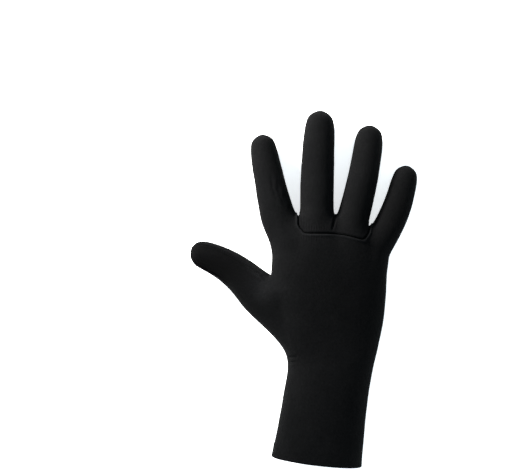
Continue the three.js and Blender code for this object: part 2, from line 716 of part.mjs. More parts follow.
// A printed patch: a thin curved plate with rounded ends that follows the palm side of a finger
function patchGeometry(grownFinger, patch) {
  const { finger, distances } = grownFinger;
  const grid = palmSideGrid(grownFinger);
  const middleColumn = (grid[0].length - 1) / 2;
  const builder = solidBuilder();
  const under = [];
  const over = [];
  const rowOf = (share) => rowAt(distances, lerp(patch.from, patch.to, share) * finger.length);
  const halfStep = (rowOf(1) - rowOf(0)) / patchSteps / 2;
  for (let i = 0; i <= patchSteps; i += 1) {
    const share = i / patchSteps;
    const ridge = Math.round(rowOf(share));
    const onRidge = i > 0 && i < patchSteps && Math.abs(ridge - rowOf(share)) < halfStep;
    const row = onRidge ? ridge : rowOf(share);
    const fromEnd = Math.min(share, 1 - share);
    const rounding = lerp(patchEnd, 1, Math.sqrt(1 - Math.max(0, 1 - fromEnd / patchCorner) ** 2));
    const edgeA = gridPoint(grid, row, 0).point;
    const edgeB = gridPoint(grid, row, grid[0].length - 1).point;
    const columnsAcross = patch.width * finger.width * rounding / edgeA.distanceTo(edgeB) * middleColumn;
    under.push([]);
    over.push([]);
    const inner = Math.min(1, columnsAcross * patchShoulder);
    const columns = [-columnsAcross, -inner, 0, inner, columnsAcross];
    for (const offset of columns) {
      const column = THREE.MathUtils.clamp(middleColumn + offset, 0, 2 * middleColumn);
      const { point, normal } = gridPoint(grid, row, column);
      under[i].push(builder.point(point.clone().addScaledVector(normal, patchGap)));
      over[i].push(builder.point(point.clone().addScaledVector(normal, patchGap + patchThickness)));
    }
  }
  const along = patchSteps;
  const across = under[0].length - 1;
  for (let i = 0; i < along; i += 1) {
    for (let j = 0; j < across; j += 1) {
      builder.quad(over[i][j], over[i][j + 1], over[i + 1][j + 1], over[i + 1][j]);
      builder.quad(under[i + 1][j], under[i + 1][j + 1], under[i][j + 1], under[i][j]);
    }
    builder.quad(under[i][0], over[i][0], over[i + 1][0], under[i + 1][0]);
    builder.quad(over[i][across], under[i][across], under[i + 1][across], over[i + 1][across]);
  }
  for (let j = 0; j < across; j += 1) {
    builder.quad(under[0][j], under[0][j + 1], over[0][j + 1], over[0][j]);
    builder.quad(over[along][j], over[along][j + 1], under[along][j + 1], under[along][j]);
  }
  return builder.geometry();
}

// Materials and the finished glove
const backFabric = new THREE.MeshStandardMaterial({ color: 0x17171a, roughness: 0.85, metalness: 0 });
const palmFabric = new THREE.MeshStandardMaterial({ color: 0x151518, roughness: 0.8, metalness: 0 });
const silicone = new THREE.MeshStandardMaterial({ color: 0x55565a, roughness: 0.55, metalness: 0 });

const glove = new THREE.Group();
const addMesh = (name, geometry, material) => {
  const mesh = new THREE.Mesh(geometry, material);
  mesh.name = name;
  glove.add(mesh);
};
addMesh("back_panel", panelGeometry("back_panel"), backFabric);
addMesh("knuckle_panel", panelGeometry("knuckle_panel"), backFabric);
addMesh("palm_panel", panelGeometry("palm_panel"), palmFabric);
for (const grownFinger of grown) {
  const patches = grownFinger.finger === thumb ? thumbPatches : fingerPatches;
  for (const patch of patches) {
    addMesh(`grip_${grownFinger.finger.name}_${patch.name}`, patchGeometry(grownFinger, patch), silicone);
  }
}

// The origin is under the middle of the glove's box, on the surface that it lies on
const box = new THREE.Box3().setFromObject(glove);
const middleOfBox = box.getCenter(new THREE.Vector3());
glove.position.set(-middleOfBox.x, -middleOfBox.y, -box.min.z);

export default glove;
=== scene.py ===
"""Right-hand neoprene diving glove, dressed over its CAD frame.

The outer skin is grown from the same cage and tables as the CAD source, then smoothed finely. Each panel is
cut from it with rounded seam edges, creases and stitch ribs, and the printed grips are laid on the palm side.
Lengths in the tables are millimetres in the hand's own frame, with the wrist's middle at the origin.
"""

import math
import random

import bpy
import numpy as np
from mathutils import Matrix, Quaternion, Vector, noise
from mathutils.bvhtree import BVHTree
from mathutils.kdtree import KDTree


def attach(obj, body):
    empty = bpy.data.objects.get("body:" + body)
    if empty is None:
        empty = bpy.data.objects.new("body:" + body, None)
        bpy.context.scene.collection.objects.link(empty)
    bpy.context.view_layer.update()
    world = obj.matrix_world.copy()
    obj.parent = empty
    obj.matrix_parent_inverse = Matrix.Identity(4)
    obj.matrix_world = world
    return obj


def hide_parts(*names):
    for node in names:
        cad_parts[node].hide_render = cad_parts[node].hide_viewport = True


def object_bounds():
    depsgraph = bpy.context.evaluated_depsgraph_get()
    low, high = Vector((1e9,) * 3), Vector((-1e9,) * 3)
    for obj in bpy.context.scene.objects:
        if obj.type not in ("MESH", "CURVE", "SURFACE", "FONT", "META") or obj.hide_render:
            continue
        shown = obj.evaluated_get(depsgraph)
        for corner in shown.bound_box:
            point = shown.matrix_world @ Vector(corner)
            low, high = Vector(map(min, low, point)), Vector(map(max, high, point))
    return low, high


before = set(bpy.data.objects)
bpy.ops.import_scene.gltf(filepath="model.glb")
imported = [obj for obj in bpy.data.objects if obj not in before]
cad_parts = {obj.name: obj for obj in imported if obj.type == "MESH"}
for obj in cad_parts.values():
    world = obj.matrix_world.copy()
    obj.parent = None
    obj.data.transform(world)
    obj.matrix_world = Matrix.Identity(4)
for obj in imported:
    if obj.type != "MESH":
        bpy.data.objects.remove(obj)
cad_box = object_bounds()
MM = 0.001
random.seed(5)

# ---------------- sizes and tables of the CAD source
WALL = 3.0
WEB_WIDTH = 3.0
WEB_REACH = 1.0
WEB_DIP = 3.0
PALM_LENGTH = 112.0
PALM_WIDTH = 90.0
PALM_DEPTH = 38.0
WRIST = (64.8, 45.0)
HEM = (69.2, 50.0)
CUFF_LENGTH = 76.0
CUFF_LEAN = 8.2
HEM_LEAN = 6.6
PRINT_ROOM = 0.45 + 0.6 + 0.2  # under the fingertips
PALM_GIRTH = 235  # for the knit's scale

# name, length, root width, width, tip width, root depth, depth, lean at the root and at the tip
FINGERS = [
    ("index", 66.5, 27.5, 23.4, 20.6, 25, 22, -15.5, -7.4),
    ("middle", 79.5, 25.4, 25.9, 23.4, 26, 23, 0, 5),
    ("ring", 73.7, 24.4, 23.6, 21.8, 25, 21.5, 16.5, 6),
    ("little", 54.9, 23.2, 22.1, 19.7, 23, 19.5, 30, 8),
]
THUMB = ("thumb", 80.3, 56, 24.5, 22.8, 30, 23, -47.8, -92)
THUMB_ROLL = (22, 4)
MIDDLE_ROOT = (-0.111, 1, 0.52)

# along, swell, taper, depth, shift
FINGER_SECTIONS = [
    (0, 1, 0, 1, 0), (0.2, 0.5, 0, 1, 0), (0.45, 0.12, 0.1, 1, 0), (0.72, 0, 0.5, 0.97, 0), (1, 0, 1, 0.92, 0),
]
THUMB_SECTIONS = [
    (0, 1, 0, 1, 0), (0.25, 0.32, 0, 1, 0.055), (0.45, 0.14, 0, 1, 0.025),
    (0.7, 0.04, 0.2, 0.97, 0), (1, 0, 1, 0.9, 0),
]
# along, left, right, top, bottom, side, even, follow, ridge, hollow, opening, corner
HAND_SECTIONS = [
    (0.828, 0.52, 0.505, 1, 0.07, 0.5, 0.1, 0.85, 0.03, 0.02, 0, 0.05),
    (0.725, 0.495, 0.504, 1.06, 0.05, 0.5, 0.35, 0.4, 0.01, 0.05, 0.1, 0.02),
    (0.62, 0.515, 0.485, 1.1, 0.04, 0.5, 0.6, 0.1, 0, 0.08, 0.16, 0),
    (0.37, 0.49, 0.477, 1.13, 0.02, 0.5, 0.9, 0, 0, 0.08, 0.18, 0),
    (0.13, 0.42, 0.422, 1.15, 0, 0.52, 1, 0, 0, 0.03, 0.15, 0),
]
# along, width, shift, top, bottom, side
CUFF_SECTIONS = [
    (0, 1, 0.022, 0.99, -0.02, 0.5),
    (0.3, 0.965, 0.003, 0.99, -0.03, 0.5),
    (0.65, 0.97, 0.007, 0.99, -0.03, 0.5),
    (1, 1, 0.005, 0.99, -0.03, 0.5),
]
RIDGE_PATTERN = (-0.4, 1, -0.4, -2.2)
CORNER_INSET = 0.4
THUMB_ROWS = (3, 4, 5)
HAND_SQUARE, CUFF_SQUARE = 2.4, 2.1
BACK_SLOPE = 0.07
TIP_RING, TIP_SIZE, TIP_PROUD = 0.28, 0.8, 1.25
FINGER_SEAM, THUMB_SEAM = 47, (45, -8)
SHOULDER = 45
# printed pads: name, start and end as shares of the length, share of the width
FINGER_PADS = [("base", 0.03, 0.31, 0.56), ("mid", 0.36, 0.63, 0.54), ("tip", 0.68, 0.93, 0.5)]
THUMB_PADS = [("tip", 0.5, 0.84, 0.56)]

BACK, KNUCKLE, PALM = 0, 1, 2
PANEL_NODES = ("back_panel", "knuckle_panel", "palm_panel")
PANEL_OF_FINGER = (BACK, KNUCKLE, KNUCKLE, BACK)


def lerp(a, b, t):
    return a + (b - a) * t


def new_object(name, data):
    obj = bpy.data.objects.new(name, data)
    bpy.context.scene.collection.objects.link(obj)
    return obj


def smoothstep(t):
    t = min(max(t, 0.0), 1.0)
    return t * t * (3 - 2 * t)


SPINE_STEPS = 24


class Finger:
    """A finger or the thumb: its sizes, and a spine that leans from the root's angle to the tip's."""

    def __init__(self, row, roll=(0, 0), power=1):
        (self.name, self.length, self.root_width, self.width, self.tip_width,
         self.root_depth, self.depth, self.lean_root, self.lean_tip) = row
        self.roll = roll
        self.power = power
        self.root = None
        self.tip_height = 0.0

    def spine(self, distance, tip_height=None):
        tip_height = self.tip_height if tip_height is None else tip_height
        point = self.root.copy()
        for step in range(SPINE_STEPS):
            share = max(0.0, (step + 0.5) / SPINE_STEPS * distance / self.length)
            lean = math.radians(lerp(self.lean_root, self.lean_tip, share ** self.power))
            point.x += math.sin(lean) * distance / SPINE_STEPS
            point.y += math.cos(lean) * distance / SPINE_STEPS
        point.z = lerp(self.root.z, tip_height, smoothstep(distance / self.length))
        return point

    def frame(self, distance, tip_height=None):
        near = 0.5
        centre = self.spine(distance, tip_height)
        ahead, behind = self.spine(distance + near, tip_height), self.spine(distance - near, tip_height)
        forward = (ahead - behind).normalized()
        up = (Vector((0, 0, 1)) - forward * forward.z).normalized()
        roll = math.radians(lerp(*self.roll, distance / self.length))
        up = Quaternion(forward, -roll) @ up
        return centre, forward, up, forward.cross(up)


fingers = [Finger(row) for row in FINGERS]
thumb = Finger(THUMB, THUMB_ROLL, 3)

# ---------------- cage
TL, T, TR, R, BR, B, BL, L = range(8)
PER_FINGER = 4
TOP_COLUMNS = len(fingers) * PER_FINGER - 1
COLUMNS = 2 * TOP_COLUMNS + 2
LEFT, RIGHT = 0, TOP_COLUMNS + 1
LAST = len(fingers) - 1

points, faces, face_panels, face_uvs = [], [], [], []


def top_column(finger, place):
    return 1 + PER_FINGER * finger + place


def bottom_column(finger, place):
    return RIGHT + 1 + PER_FINGER * (LAST - finger) + place


def top_web(finger):
    return top_column(finger, PER_FINGER - 1)


def bottom_web(finger):
    return bottom_column(finger, -1)


def add_point(point):
    points.append(Vector(point))
    return len(points) - 1


def add_face(corners, panel, uvs):
    faces.append(list(corners))
    face_panels.append(panel)
    face_uvs.append(list(uvs))


def ring_angles(seam):
    side = (SHOULDER - seam) / 2
    return [180 - SHOULDER, 90, SHOULDER, side, -seam, -90, seam - 180, 180 - side]


def smoothed_reach(angles):
    """How far a ring of unit radius reaches to the side, up and down once it is smoothed."""
    side = top = bottom = 0
    for place in range(8):
        four = [math.radians(angles[(place + k) % 8]) for k in range(4)]
        for step in range(8):
            t = step / 8
            weights = ((1 - t) ** 3, 4 - 6 * t ** 2 + 3 * t ** 3, 1 + 3 * t + 3 * t ** 2 - 3 * t ** 3, t ** 3)
            x = sum(w * math.cos(a) for w, a in zip(weights, four)) / 6
            y = sum(w * math.sin(a) for w, a in zip(weights, four)) / 6
            side, top, bottom = max(side, x), max(top, y), max(bottom, -y)
    return side, top, bottom


def finger_ring(ring_frame, width, depth, seam):
    centre, _, up, right = ring_frame
    angles = ring_angles(seam)
    side, top, bottom = smoothed_reach(angles)
    ring = []
    for angle in angles:
        rise = math.sin(math.radians(angle))
        across = width / 2 * math.cos(math.radians(angle)) / side
        above = depth / 2 * rise / (top if rise > 0 else bottom)
        ring.append(centre + right * across + up * above)
    return ring


def grow_finger(finger, base_ring, sections, dorsal, seam_at, first_v):
    tip_depth = finger.depth * sections[-1][3]
    finger.tip_height = tip_depth / 2 + PRINT_ROOM
    tip_radius = finger.tip_width / 2
    straight = finger.length - tip_radius
    distances, rings = [0], [base_ring]
    steps_around = [math.pi * (finger.root_width + finger.root_depth) / 16]

    def add_ring(distance, width, depth, shift=0.0):
        centre, forward, up, right = finger.frame(distance)
        centre = centre - right * (shift * finger.root_width)
        distances.append(distance)
        steps_around.append(math.pi * (width + depth) / 16)
        ring = finger_ring((centre, forward, up, right), width, depth, seam_at(distance / finger.length))
        rings.append([add_point(point) for point in ring])

    for along, swell, taper, depth_share, shift in sections[1:]:
        width = finger.width + (finger.root_width - finger.width) * swell
        width -= (finger.width - finger.tip_width) * taper
        depth = (finger.depth + (finger.root_depth - finger.depth) * swell) * depth_share
        add_ring(along * straight, width, depth, shift)
    from_tip = TIP_RING * tip_radius
    add_ring(finger.length - from_tip, finger.tip_width * TIP_SIZE, tip_depth * TIP_SIZE)
    tip = add_point(finger.spine(finger.length + TIP_PROUD * from_tip))

    def u_at(place, ring):
        return (place - 2) * steps_around[ring]

    for step in range(len(rings) - 1):
        here, ahead = rings[step], rings[step + 1]
        v0, v1 = first_v + distances[step], first_v + distances[step + 1]
        for place in range(8):
            following = (place + 1) % 8
            panel = PALM if place in (BR, B) else dorsal
            corners = (here[place], here[following], ahead[following], ahead[place])
            add_face(corners, panel, ((u_at(place, step), v0), (u_at(place + 1, step), v0),
                                      (u_at(place + 1, step + 1), v1), (u_at(place, step + 1), v1)))
    end = rings[-1]
    v = first_v + distances[-1]
    for place in (TL, TR, BR, BL):
        corners = (end[place], end[place + 1], end[(place + 2) % 8], tip)
        uvs = [(u_at(place + k, -1), v) for k in range(3)] + [(u_at(place + 1, -1), v + 4)]
        add_face(corners, PALM if place == BR else dorsal, uvs)
    finger.rings, finger.distances = rings, distances


def lay_out_roots():
    def direction(lean):
        return Vector((math.cos(math.radians(lean)), -math.sin(math.radians(lean)), 0))

    across, ahead, height = MIDDLE_ROOT
    fingers[1].root = Vector((across * PALM_WIDTH, ahead * PALM_LENGTH, height * PALM_DEPTH))
    for a, b, side in ((1, 0, -1), (1, 2, 1), (2, 3, 1)):
        one, two = fingers[a], fingers[b]
        between = (one.lean_root + two.lean_root) / 2
        two.root = (one.root + direction(one.lean_root) * (side * one.root_width / 2)
                    + direction(between) * (side * WEB_WIDTH)
                    + direction(two.lean_root) * (side * two.root_width / 2))
        two.root.z = one.root.z - (one.root_depth - two.root_depth) / 2


lay_out_roots()
root_rings = []
for finger in fingers:
    ring = finger_ring(finger.frame(0, finger.root.z), finger.root_width, finger.root_depth, FINGER_SEAM)
    root_rings.append([add_point(point) for point in ring])

webs = []
for here, there in zip(root_rings, root_rings[1:]):
    top = points[here[TR]].lerp(points[there[TL]], 0.5)
    middle = points[here[R]].lerp(points[there[L]], 0.5)
    bottom = points[here[BR]].lerp(points[there[BL]], 0.5)
    top.z -= WEB_DIP
    middle.y += WEB_REACH
    webs.append((add_point(top), add_point(middle), add_point(bottom)))

knuckles = [0] * COLUMNS
knuckles[LEFT] = root_rings[0][L]
knuckles[RIGHT] = root_rings[-1][R]
for number, ring in enumerate(root_rings):
    for column, place in enumerate((TL, T, TR)):
        knuckles[top_column(number, column)] = ring[place]
    for column, place in enumerate((BR, B, BL)):
        knuckles[bottom_column(number, column)] = ring[place]
for number, (top, _, bottom) in enumerate(webs):
    knuckles[top_web(number)] = top
    knuckles[bottom_web(number)] = bottom


def column_turns(even, opening):
    """Half turns from the thumb's side, for each column: under its knuckle point, or evenly spread."""
    left_edge, right_edge = points[knuckles[LEFT]].x, points[knuckles[RIGHT]].x
    even_step = 1 / (TOP_COLUMNS + 1)
    opening = max(opening, even_step)
    turns = []
    for column, index in enumerate(knuckles):
        if column == LEFT:
            turns.append(0)
        elif column == RIGHT:
            turns.append(1)
        else:
            place = column if column < RIGHT else COLUMNS - column
            share = min(max((points[index].x - left_edge) / (right_edge - left_edge), 0.01), 0.99)
            followed = math.acos(1 - 2 * share) / math.pi
            evenly = opening + (place - 1) * (1 - even_step - opening) / (TOP_COLUMNS - 1)
            turns.append(lerp(followed, evenly, even))
    return turns


def body_ring(x0, y0, lean, left, right, top, bottom, side, ridge, hollow, even, follow, opening, corner_size,
              squareness, sloped):
    turns = column_turns(even, opening)
    mean_ahead = sum(points[index].y for index in knuckles) / COLUMNS
    middle, half = (right - left) / 2, (right + left) / 2
    power = 2 / squareness
    ring = []
    for column, index in enumerate(knuckles):
        angle = math.pi * turns[column]
        across = -math.copysign(1, math.cos(angle)) * abs(math.cos(angle)) ** power
        rise = math.sin(angle) ** power if 0 < turns[column] < 1 else 0.0
        is_side = column in (LEFT, RIGHT)
        slope = 1 - BACK_SLOPE * across * sloped
        height = side
        if not is_side and column < RIGHT:
            height += (top * slope - side) * rise + ridge * RIDGE_PATTERN[(column - 1) % PER_FINGER]
        if not is_side and column > RIGHT:
            height -= (side - bottom) * rise - hollow * (1 - across ** 2)
        corner = corner_size * ((column == top_web(0)) - (column == top_web(2)))
        x = middle + half * across + corner * CORNER_INSET
        y = follow * (points[index].y - mean_ahead) + abs(corner)
        turn = -math.radians(lean)
        turned_x = x * math.cos(turn) - y * math.sin(turn)
        turned_y = x * math.sin(turn) + y * math.cos(turn)
        ring.append(add_point((x0 + turned_x, y0 + turned_y, height)))
    return ring


body_rings = [knuckles]
body_v = [0.0]
for along, left, right, top, bottom, side, even, follow, ridge, hollow, opening, corner in HAND_SECTIONS:
    body_rings.append(body_ring(
        0, along * PALM_LENGTH, 0, left * PALM_WIDTH, right * PALM_WIDTH, top * PALM_DEPTH, bottom * PALM_DEPTH,
        side * PALM_DEPTH, ridge * PALM_DEPTH, hollow * PALM_DEPTH, even, follow, opening, corner * PALM_LENGTH,
        HAND_SQUARE, 1))
    body_v.append((along - 1) * PALM_LENGTH)
for along, width_share, aside, top, bottom, side in CUFF_SECTIONS:
    full_width, depth = lerp(WRIST[0], HEM[0], along), lerp(WRIST[1], HEM[1], along)
    half_width = width_share * full_width / 2
    lean = math.radians(CUFF_LEAN)
    body_rings.append(body_ring(
        aside * full_width - along * CUFF_LENGTH * math.sin(lean), -along * CUFF_LENGTH * math.cos(lean),
        HEM_LEAN * min(1, along * 2), half_width, half_width, top * depth, bottom * depth, side * depth,
        0, 0, 1, 0, 0, 0, CUFF_SQUARE, 0))
    body_v.append(-PALM_LENGTH - along * CUFF_LENGTH)


def body_panel(row, column):
    if bottom_column(LAST, 0) <= column < bottom_column(0, PER_FINGER - 2):
        return PALM
    return KNUCKLE if row == 0 and top_web(0) <= column < top_web(2) else BACK


column_step = PALM_GIRTH / COLUMNS
for row in range(len(body_rings) - 1):
    for column in range(COLUMNS):
        following = (column + 1) % COLUMNS
        if THUMB_ROWS[0] <= row < THUMB_ROWS[2] and LEFT in (column, following):
            continue
        corners = (body_rings[row + 1][column], body_rings[row + 1][following],
                   body_rings[row][following], body_rings[row][column])
        u0, u1 = column * column_step, (column + 1) * column_step
        v0, v1 = body_v[row], body_v[row + 1]
        add_face(corners, body_panel(row, column), ((u0, v1), (u1, v1), (u1, v0), (u0, v0)))

for number, (top, middle, bottom) in enumerate(webs):
    here, there = root_rings[number], root_rings[number + 1]
    one, two = PANEL_OF_FINGER[number], PANEL_OF_FINGER[number + 1]
    for corners, panel in (
        ((here[TR], top, middle, here[R]), one), ((top, there[TL], there[L], middle), two),
        ((here[R], middle, bottom, here[BR]), one), ((middle, there[L], there[BL], bottom), two),
    ):
        add_face(corners, panel, [(points[c].x, points[c].z) for c in corners])

for number, finger in enumerate(fingers):
    grow_finger(finger, root_rings[number], FINGER_SECTIONS, PANEL_OF_FINGER[number],
                lambda share: FINGER_SEAM, 0.0)
first_bottom, first_top = bottom_column(0, PER_FINGER - 2), top_column(0, 0)
ahead, amid, behind = (body_rings[row] for row in THUMB_ROWS)
thumb_base = [behind[first_top], amid[first_top], ahead[first_top], ahead[LEFT],
              ahead[first_bottom], amid[first_bottom], behind[first_bottom], behind[LEFT]]
thumb.root = sum((points[index] for index in thumb_base), Vector()) / 8
grow_finger(thumb, thumb_base, THUMB_SECTIONS, BACK, lambda share: lerp(*THUMB_SEAM, share), -40.0)


# ---------------- smooth skin
def array_of(items, name, width, kind=float):
    """A property of every item, as an array with so many columns."""
    values = np.empty(len(items) * width, dtype=kind)
    items.foreach_get(name, values)
    return values.reshape(-1, width)


class Skin:
    """The cage smoothed by so many levels, as arrays."""

    def __init__(self, level):
        mesh = bpy.data.meshes.new("cage")
        mesh.from_pydata([tuple(point) for point in points], [], faces)
        layer = mesh.uv_layers.new(name="UVMap")
        for polygon, panel, uvs in zip(mesh.polygons, face_panels, face_uvs):
            polygon.material_index = panel
            for loop, uv in zip(polygon.loop_indices, uvs):
                layer.data[loop].uv = uv
        for _ in PANEL_NODES:
            mesh.materials.append(None)
        obj = new_object("cage", mesh)
        smoother = obj.modifiers.new("smooth", "SUBSURF")
        smoother.levels = smoother.render_levels = level
        smoother.use_limit_surface = True
        evaluated = obj.evaluated_get(bpy.context.evaluated_depsgraph_get())
        result = evaluated.to_mesh()
        self.points = array_of(result.vertices, "co", 3)
        self.normals = array_of(result.vertices, "normal", 3)
        self.quads = array_of(result.loops, "vertex_index", 1, np.int64).reshape(-1, 4)
        self.panels = array_of(result.polygons, "material_index", 1, np.int64).ravel()
        self.uvs = array_of(result.uv_layers[0].data, "uv", 2).reshape(-1, 4, 2)
        evaluated.to_mesh_clear()
        bpy.data.objects.remove(obj)
        bpy.data.meshes.remove(mesh)


FINE, COARSE = 4, 3
fine, coarse = Skin(FINE), Skin(COARSE)

# from the hand's own frame to the CAD frame
box_low, box_high = coarse.points.min(0), coarse.points.max(0)
cad_low, cad_high = (np.array(corner) / MM for corner in cad_box)
shift = (cad_low + cad_high) / 2 - (box_low + box_high) / 2
shift[2] = 0.0

# the knuckle seam's two corners are rounded: points near them slide inward, less with distance
CORNER_SLIDE, CORNER_REACH, CORNER_FADE = 2.1, 5.0, 1.2
CORNER_WAY = (0.75, 0.66)
for web, side in ((0, 1), (2, -1)):
    column = top_web(web)
    for skin in (fine, coarse):
        corner = skin.points[body_rings[1][column]].copy()
        inward = np.array([side * CORNER_WAY[0], CORNER_WAY[1], 0.0])
        away = np.linalg.norm(skin.points - corner, axis=1)
        slide = CORNER_SLIDE * np.clip(1 - away / CORNER_REACH, 0, 1) ** CORNER_FADE
        direction = inward - skin.normals * (skin.normals @ inward)[:, None]
        skin.points += direction * slide[:, None]


def edges_of(quads):
    """Each edge with the faces beside it, in the order of the first face's corners."""
    table = {}
    for number, quad in enumerate(quads.tolist()):
        for place in range(4):
            a, b = quad[place], quad[(place + 1) % 4]
            key = (a, b) if a < b else (b, a)
            table.setdefault(key, []).append((number, a, b))
    return table


hem_normal = np.array((-math.sin(math.radians(HEM_LEAN)), -math.cos(math.radians(HEM_LEAN)), 0.0))
for skin in (fine, coarse):
    skin.edges = edges_of(skin.quads)
    skin.hem = {v for (a, b), sides in skin.edges.items() if len(sides) == 1 for v in (a, b)}
    for vertex in skin.hem:
        flat = skin.normals[vertex] - hem_normal * np.dot(skin.normals[vertex], hem_normal)
        skin.normals[vertex] = flat / np.linalg.norm(flat)

# ---------------- seams and creases
# height of the two lips beside a seam, and depth of the groove between them
SEAM_RELIEF = {"knuckle": (0.7, 1.3), "side": (0.2, 0.8), "thumb": (0.38, 0.9)}
LIP_PLACE, LIP_WIDTH, GROOVE_WIDTH = 1.45, 0.75, 0.62
INNER_LIP = 0.25  # the knuckle panel's own lip, as a share
SEAM_SAMPLE = 0.25
THUMB_SEAM_X, THUMB_SEAM_PAST_ROOT = -42, 45


def seam_points(skin):
    """Points along the seams, by kind."""
    kinds = {kind: [] for kind in SEAM_RELIEF}
    for (a, b), sides in skin.edges.items():
        if len(sides) != 2:
            continue
        pair = {skin.panels[sides[0][0]], skin.panels[sides[1][0]]}
        if len(pair) == 1:
            continue
        start, end = skin.points[a], skin.points[b]
        if pair == {BACK, KNUCKLE}:
            kind = "knuckle"
        elif start[0] < THUMB_SEAM_X and start[1] < thumb.root.y + THUMB_SEAM_PAST_ROOT:
            kind = "thumb"
        else:
            kind = "side"
        steps = max(1, int(np.linalg.norm(end - start) / SEAM_SAMPLE))
        for step in range(steps):
            kinds[kind].append(start + (end - start) * (step / steps))
    return kinds


def tree_of(places):
    tree = KDTree(len(places))
    for number, point in enumerate(places):
        tree.insert(point, number)
    tree.balance()
    return tree


REACH = 9.0
distances = {}
for kind, seam in seam_points(fine).items():
    tree = tree_of(seam)
    distances[kind] = np.array([min(tree.find(point)[2], REACH) for point in fine.points])

CAMERA_X, CAMERA_Y, CAMERA_HEIGHT, FOCAL = -54.05, 96.6, 1145.0, 1477.6
IMAGE_WIDTH, IMAGE_HEIGHT = 518, 469


def plan(px, py, height=30.0):
    """Place in the hand's frame of a point of the photo, at a height above the surface."""
    scale = (CAMERA_HEIGHT - height) / FOCAL
    return (CAMERA_X + (px - IMAGE_WIDTH / 2) * scale, CAMERA_Y - (py - IMAGE_HEIGHT / 2) * scale)


# creases of the back: places in the photo along each, depth, half width, and raised sides as a share
CREASES = [
    ([(271, 174), (273, 188), (278, 202)], 0.34, 1.3, 0.6),
    ([(276, 182), (280, 195), (287, 210)], 0.4, 1.4, 0.6),
    ([(283, 190), (286, 201), (292, 213)], 0.34, 1.4, 0.6),
    ([(287, 358), (292, 357), (298, 356)], 0.9, 0.9, 0.7),
    ([(286, 363), (291, 362.5), (297, 361)], 0.7, 0.9, 0.7),
]
# stitched lines beside the thumb's seam, and the gathers under them
THUMB_LINES = [
    [(194, 247), (200, 244.6), (208, 246), (217, 248.6), (233, 255.8), (247, 264.6), (258, 271), (266, 278)],
    [(192, 256), (196, 264), (206, 270), (218, 276), (230, 284)],
]
CREASES += [(line, 0.8, 0.5, 1.0) for line in THUMB_LINES]
GATHERS = [((246 + 2.4 * k, 265.5 + 1.6 * k), (249 + 2.4 * k, 274 + 1.6 * k)) for k in range(6)]
CREASES += [(line, 0.45, 0.55, 0.9) for line in GATHERS]
# the valley between the roots of the middle and ring fingers
CREASES.append(([(340, 204), (336.5, 213), (334, 222), (331.5, 231)], 1.7, 0.85, 0.2))
# stitch ribs over the knuckle seam, strongest under the middle finger
RIB_STEP, RIB_HEIGHT, RIB_BAND, RIB_SPREAD = 1.9, 0.22, 2.3, 9.0
RIB_FROM_SEAM, RIB_TONE_FROM_SEAM, RIB_TONE = 4.2, 4.0, 0.4
RIB_ASIDE = 1.5
# the swell of the thumb's root: its place in the photo, radius and height
SWELL_PLACE, SWELL_RADIUS, SWELL_HEIGHT = (273, 296), 9.0, 2.2
LUMP_SIZE, LUMP_HEIGHT = 17, 0.22
# tones: a painted highlight on the lip beside the knuckle seam, and on each stitched line painted shade along its
# middle and a painted highlight on its lit side
RIM_HIGHLIGHT, RIM_PLACE, RIM_WIDTH = 1.6, 1.25, 0.6
STITCH_SHADE, STITCH_HIGHLIGHT, STITCH_LIT_SIDE = 0.65, 1.6, np.array([0.6, -0.9])
# soft spots of painted highlight and painted shade on the back: place in the photo, radius in pixels, share of the
# tone
PAINTED_LIGHT_SPOTS = [
    ((264, 287), 14, 2.5), ((200, 266), 44, 0.2), ((207, 250), 12, 1.9), ((226, 270), 16, 0.7),
    ((248, 312), 24, 0.72), ((345, 295), 64, 0.58), ((396, 208), 36, 0.55), ((355, 425), 34, 0.8),
]


def crease_depth(xy, line, width, raised):
    """How far down each point goes, as a share of a crease's depth, fading out at the crease's ends."""
    best = np.full(len(xy), 1e9)
    along_best = np.zeros(len(xy))
    line = np.array(line)
    lengths = np.linalg.norm(np.diff(line, axis=0), axis=1)
    total, before = lengths.sum(), 0.0
    for start, end, length in zip(line, line[1:], lengths):
        direction = (end - start) / length
        along = np.clip((xy - start) @ direction, 0, length)
        away = np.linalg.norm(xy - start - along[:, None] * direction, axis=1)
        nearer = away < best
        best[nearer] = away[nearer]
        along_best[nearer] = (before + along[nearer]) / total
        before += length
    fade = np.clip(np.sin(np.pi * np.clip(along_best, 0.0, 1.0)) * 1.6, 0, 1)
    fade = np.where(best < 6 * width, fade, 0)
    return fade * (np.exp(-(best / width) ** 2) - 0.5 * raised * np.exp(-((best - 2 * width) / width) ** 2))


def bell(away, place, spread):
    """A soft swell over a place, 1 at its top."""
    return np.exp(-((away - place) / spread) ** 2)


def rib_wave(x):
    """The stitch ribs across the hand, from -1 to 1."""
    return np.cos(2 * math.pi * x / RIB_STEP)


